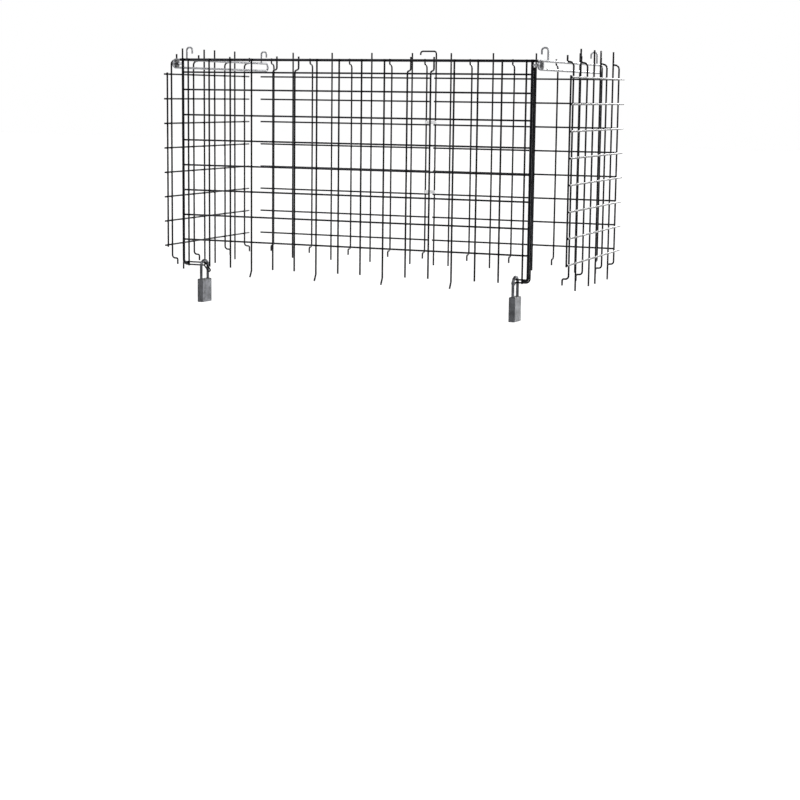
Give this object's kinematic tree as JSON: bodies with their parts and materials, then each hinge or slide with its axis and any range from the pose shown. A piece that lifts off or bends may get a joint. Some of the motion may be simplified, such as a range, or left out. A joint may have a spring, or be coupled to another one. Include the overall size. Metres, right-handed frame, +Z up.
{
  "type": "security cage",
  "caption": "Wire mesh cage that hooks between two shelves, with a front door that swings up, slides back and padlocks.",
  "frame": {"origin": "midway between the four shelf posts, at the height of the centre of the lower shelf's rim wire that the lower hooks rest on", "axes": "+X to the right along the front, +Y from the front door to the back panels, +Z up"},
  "size_m": [0.9802, 0.5071, 0.5834],
  "materials": {
    "cage_wire": "dark glossy plating",
    "bright_rod": "bright plating",
    "clip_sheet": "mill finish",
    "glide_plastic": "moulded",
    "lock_case": "satin",
    "lock_steel": "polished",
    "lock_brass": "satin"
  },
  "bodies": {
    "cage": {"left_panel_cross_wires": "cage_wire", "left_panel_plain_uprights": "cage_wire", "left_panel_hooked_uprights": "cage_wire", "left_panel_edge_rod": "cage_wire", "right_panel_cross_wires": "cage_wire", "right_panel_plain_uprights": "cage_wire", "right_panel_hooked_uprights": "cage_wire", "right_panel_edge_rod": "cage_wire", "back_left_cross_wires": "cage_wire", "back_left_plain_uprights": "cage_wire", "back_left_hooked_uprights": "cage_wire", "back_right_cross_wires": "cage_wire", "back_right_plain_uprights": "cage_wire", "back_right_hooked_uprights": "cage_wire", "back_joining_hook": "cage_wire", "left_track_runs": "bright_rod", "left_track_ends": "bright_rod", "right_track_runs": "bright_rod", "right_track_ends": "bright_rod", "left_track_hangers": "bright_rod", "right_track_hangers": "bright_rod", "back_upper_clip": "clip_sheet", "back_lower_clip": "clip_sheet"},
    "door_glides": {"left_glide": "glide_plastic", "right_glide": "glide_plastic"},
    "door": {"door_top_rod": "cage_wire", "door_cross_wires": "cage_wire", "door_short_uprights": "cage_wire", "door_long_uprights": "cage_wire", "door_joggled_uprights": "cage_wire", "door_left_edge_rod": "cage_wire", "door_right_edge_rod": "cage_wire", "door_left_hasp": "cage_wire", "door_right_hasp": "cage_wire", "door_left_pivot_pin": "bright_rod", "door_right_pivot_pin": "bright_rod", "left_retaining_ring": "bright_rod", "right_retaining_ring": "bright_rod"},
    "left_lock_bow": {"left_lock_shackle": "lock_steel"},
    "left_lock_case": {"left_lock_body": "lock_case", "left_lock_cylinder": "lock_brass", "left_lock_spring": "lock_steel"},
    "left_lock_key_way": {"left_lock_key_plug": "lock_brass", "left_lock_tailpiece": "lock_steel"},
    "right_lock_bow": {"right_lock_shackle": "lock_steel"},
    "right_lock_case": {"right_lock_body": "lock_case", "right_lock_cylinder": "lock_brass", "right_lock_spring": "lock_steel"},
    "right_lock_key_way": {"right_lock_key_plug": "lock_brass", "right_lock_tailpiece": "lock_steel"}
  },
  "joints": [
    {"name": "door_slide", "type": "slide", "parent": "cage", "child": "door_glides", "axis": [0, 1, 0], "range_m": [0, 0.43]},
    {"name": "door_flip", "type": "hinge", "parent": "door_glides", "child": "door", "pos_m": [0, -0.255, 0.456], "axis": [-1, 0, 0], "range_deg": [0, 90]},
    {"name": "left_lock_swing", "type": "hinge", "parent": "door", "child": "left_lock_bow", "pos_m": [-0.364, -0.2503, 0.0055], "axis": [-1, 0, 0], "range_deg": [-15, 40]},
    {"name": "left_lock_release", "type": "slide", "parent": "left_lock_bow", "child": "left_lock_case", "axis": [0, 0, -1], "range_m": [0, 0.011]},
    {"name": "left_key_turn", "type": "hinge", "parent": "left_lock_case", "child": "left_lock_key_way", "pos_m": [-0.364, -0.2503, -0.0895], "axis": [0, 0, 1], "range_deg": [0, 90]},
    {"name": "right_lock_swing", "type": "hinge", "parent": "door", "child": "right_lock_bow", "pos_m": [0.386, -0.2503, 0.0055], "axis": [-1, 0, 0], "range_deg": [-15, 40]},
    {"name": "right_lock_release", "type": "slide", "parent": "right_lock_bow", "child": "right_lock_case", "axis": [0, 0, -1], "range_m": [0, 0.011]},
    {"name": "right_key_turn", "type": "hinge", "parent": "right_lock_case", "child": "right_lock_key_way", "pos_m": [0.386, -0.2503, -0.0895], "axis": [0, 0, 1], "range_deg": [0, 90]}
  ]
}
